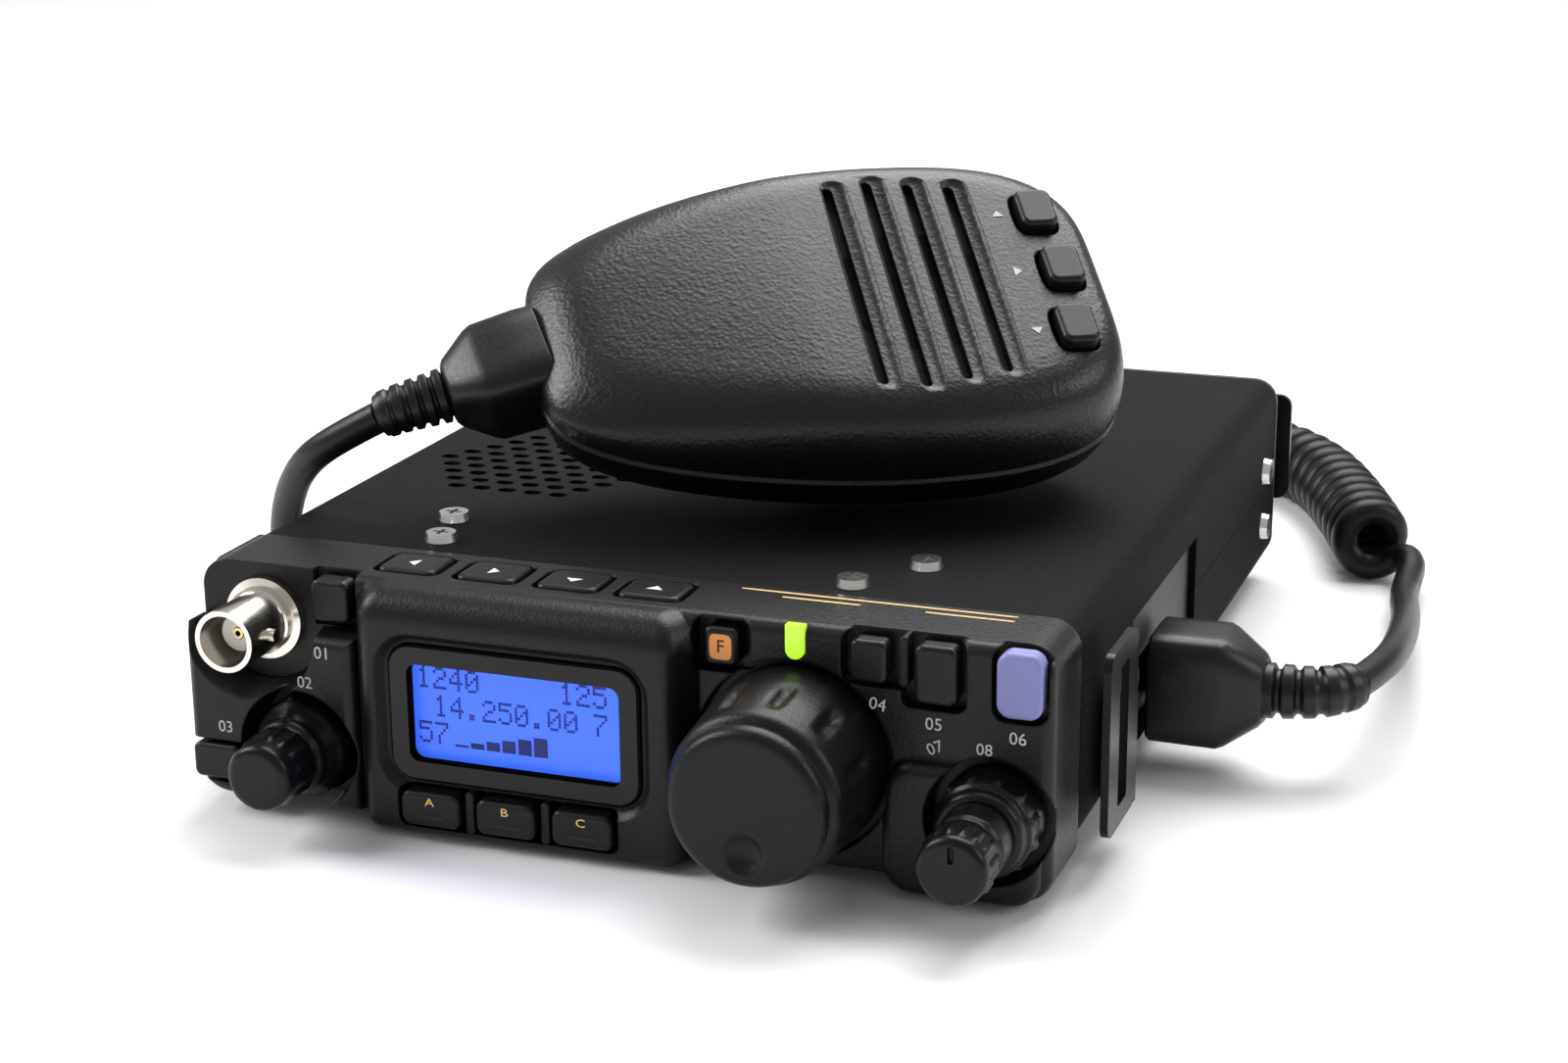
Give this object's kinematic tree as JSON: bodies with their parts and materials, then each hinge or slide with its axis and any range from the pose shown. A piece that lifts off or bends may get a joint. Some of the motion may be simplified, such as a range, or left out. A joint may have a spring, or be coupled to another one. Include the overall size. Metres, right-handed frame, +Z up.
{
  "type": "portable amateur radio transceiver",
  "caption": "Compact portable all-band radio transceiver with a lit display, tuning dial, knobs and keys, and a hand microphone on a curly cord lying on its cover.",
  "frame": {"origin": "on the table under the middle of the set, measured without its cord", "axes": "+X to the right seen from the front, +Y from the front panel to the rear panel, +Z up"},
  "size_m": [0.1871, 0.2586, 0.0888],
  "materials": {
    "panel_plastic": "satin charcoal with fine leather grain",
    "cover_paint": "matt black speckled paint",
    "heatsink_alloy": "black finish, bare machined edge",
    "alloy": "plain sheet",
    "foot_rubber": "matt",
    "battery_wrap": "shrink wrap",
    "screw_steel": "bright plated",
    "bracket_paint": "gloss black",
    "circuit_board": "solder mask green",
    "speaker_cone": "paper cone in a steel basket",
    "lcd_glass": "lit blue with dark characters",
    "window_gloss": "clear pane with a black mask",
    "lamp_green": "lit yellow green",
    "shaft_steel": "plated",
    "nickel": "nickel plated brass",
    "white_insulator": "white",
    "contact_brass": "gold plated",
    "socket_plastic": "moulded black",
    "mic_plastic": "black with a pebbled grain",
    "cord_rubber": "satin black",
    "dial_rubber": "satin, finely grained face",
    "knob_plastic": "satin black",
    "key_rubber": "satin black",
    "power_lavender": "satin lavender"
  },
  "bodies": {
    "root": {"front_panel": "panel_plastic", "chassis": "alloy", "top_cover": "cover_paint", "bottom_cover": "cover_paint", "rear_panel": "heatsink_alloy", "feet": "foot_rubber", "battery_pack": "battery_wrap", "case_screws": "screw_steel", "strap_brackets": "bracket_paint", "main_board": "circuit_board", "rf_board": "circuit_board", "front_board": "circuit_board", "speaker": "speaker_cone", "lcd_module": "lcd_glass", "display_window": "window_gloss", "led_light_pipe": "lamp_green", "main_encoder": "shaft_steel", "sel_encoder": "shaft_steel", "volume_pot": "shaft_steel", "bnc_connector": "nickel", "bnc_insulator": "white_insulator", "bnc_contact": "contact_brass", "rear_antenna_connector": "nickel", "rear_antenna_insulator": "white_insulator", "dc_jack": "socket_plastic", "audio_jacks": "socket_plastic", "mini_din_jacks": "socket_plastic", "mic_jack": "socket_plastic", "mic_front_shell": "mic_plastic", "mic_rear_shell": "mic_plastic", "mic_element": "speaker_cone", "mic_board": "circuit_board", "mic_hanger": "shaft_steel", "mic_end_plug": "cord_rubber", "mic_end_cord": "cord_rubber", "cord_coil": "cord_rubber", "radio_end_cord": "cord_rubber", "radio_end_plug": "cord_rubber"},
    "home_key": {"home_key": "key_rubber"},
    "clar_key": {"clar_key": "key_rubber"},
    "function_key": {"function_key": "key_rubber"},
    "vm_key": {"vm_key": "key_rubber"},
    "lock_key": {"lock_key": "key_rubber"},
    "power_key": {"power_key": "power_lavender"},
    "a_key": {"a_key": "key_rubber"},
    "b_key": {"b_key": "key_rubber"},
    "c_key": {"c_key": "key_rubber"},
    "mode_left_key": {"mode_left_key": "key_rubber"},
    "mode_right_key": {"mode_right_key": "key_rubber"},
    "band_down_key": {"band_down_key": "key_rubber"},
    "band_up_key": {"band_up_key": "key_rubber"},
    "mic_up_key": {"mic_up_key": "key_rubber"},
    "mic_fast_key": {"mic_fast_key": "key_rubber"},
    "mic_down_key": {"mic_down_key": "key_rubber"},
    "ptt_bar": {"ptt_bar": "key_rubber"},
    "main_dial": {"main_dial": "dial_rubber"},
    "sel_knob": {"sel_knob": "knob_plastic"},
    "af_knob": {"af_knob": "knob_plastic"},
    "squelch_ring": {"squelch_ring": "knob_plastic"},
    "battery_door": {"battery_door": "panel_plastic"}
  },
  "joints": [
    {"name": "home_press", "type": "slide", "parent": "root", "child": "home_key", "axis": [0, 1, 0], "range_m": [0, 0.0007], "stiffness_N_per_m": 1500, "springref_m": -0.0005},
    {"name": "clar_press", "type": "slide", "parent": "root", "child": "clar_key", "axis": [0, 1, 0], "range_m": [0, 0.0007], "stiffness_N_per_m": 1500, "springref_m": -0.0005},
    {"name": "function_press", "type": "slide", "parent": "root", "child": "function_key", "axis": [0, 1, 0], "range_m": [0, 0.0007], "stiffness_N_per_m": 1500, "springref_m": -0.0005},
    {"name": "vm_press", "type": "slide", "parent": "root", "child": "vm_key", "axis": [0, 1, 0], "range_m": [0, 0.0007], "stiffness_N_per_m": 1500, "springref_m": -0.0005},
    {"name": "lock_press", "type": "slide", "parent": "root", "child": "lock_key", "axis": [0, 1, 0], "range_m": [0, 0.0007], "stiffness_N_per_m": 1500, "springref_m": -0.0005},
    {"name": "power_press", "type": "slide", "parent": "root", "child": "power_key", "axis": [0, 1, 0], "range_m": [0, 0.0007], "stiffness_N_per_m": 1500, "springref_m": -0.0005},
    {"name": "a_press", "type": "slide", "parent": "root", "child": "a_key", "axis": [0, 1, 0], "range_m": [0, 0.0007], "stiffness_N_per_m": 1500, "springref_m": -0.0005},
    {"name": "b_press", "type": "slide", "parent": "root", "child": "b_key", "axis": [0, 1, 0], "range_m": [0, 0.0007], "stiffness_N_per_m": 1500, "springref_m": -0.0005},
    {"name": "c_press", "type": "slide", "parent": "root", "child": "c_key", "axis": [0, 1, 0], "range_m": [0, 0.0007], "stiffness_N_per_m": 1500, "springref_m": -0.0005},
    {"name": "mode_left_press", "type": "slide", "parent": "root", "child": "mode_left_key", "axis": [0, 0, -1], "range_m": [0, 0.0007], "stiffness_N_per_m": 1500, "springref_m": -0.0005},
    {"name": "mode_right_press", "type": "slide", "parent": "root", "child": "mode_right_key", "axis": [0, 0, -1], "range_m": [0, 0.0007], "stiffness_N_per_m": 1500, "springref_m": -0.0005},
    {"name": "band_down_press", "type": "slide", "parent": "root", "child": "band_down_key", "axis": [0, 0, -1], "range_m": [0, 0.0007], "stiffness_N_per_m": 1500, "springref_m": -0.0005},
    {"name": "band_up_press", "type": "slide", "parent": "root", "child": "band_up_key", "axis": [0, 0, -1], "range_m": [0, 0.0007], "stiffness_N_per_m": 1500, "springref_m": -0.0005},
    {"name": "mic_up_press", "type": "slide", "parent": "root", "child": "mic_up_key", "axis": [-0.3038, 0.4608, -0.8339], "range_m": [0, 0.0007], "stiffness_N_per_m": 1500, "springref_m": -0.0005},
    {"name": "mic_fast_press", "type": "slide", "parent": "root", "child": "mic_fast_key", "axis": [-0.3038, 0.4608, -0.8339], "range_m": [0, 0.0007], "stiffness_N_per_m": 1500, "springref_m": -0.0005},
    {"name": "mic_down_press", "type": "slide", "parent": "root", "child": "mic_down_key", "axis": [-0.3038, 0.4608, -0.8339], "range_m": [0, 0.0007], "stiffness_N_per_m": 1500, "springref_m": -0.0005},
    {"name": "ptt_press", "type": "slide", "parent": "root", "child": "ptt_bar", "axis": [0.459, -0.6962, -0.5519], "range_m": [0, 0.0012], "stiffness_N_per_m": 1500, "springref_m": -0.0005},
    {"name": "main_dial_turn", "type": "hinge", "parent": "root", "child": "main_dial", "pos_m": [0.0292, -0.07985, 0.0186], "axis": [0, -1, 0], "continuous": true},
    {"name": "sel_knob_turn", "type": "hinge", "parent": "root", "child": "sel_knob", "pos_m": [-0.0489, -0.07985, 0.0118], "axis": [0, -1, 0], "continuous": true},
    {"name": "af_knob_turn", "type": "hinge", "parent": "root", "child": "af_knob", "pos_m": [0.0587, -0.07985, 0.0134], "axis": [0, -1, 0], "range_deg": [-135, 135]},
    {"name": "squelch_turn", "type": "hinge", "parent": "root", "child": "squelch_ring", "pos_m": [0.0587, -0.07985, 0.0134], "axis": [0, -1, 0], "range_deg": [-135, 135]},
    {"name": "battery_door_swing", "type": "hinge", "parent": "root", "child": "battery_door", "pos_m": [0, 0.03665, 0.00475], "axis": [1, 0, 0], "range_deg": [0, 100]}
  ]
}
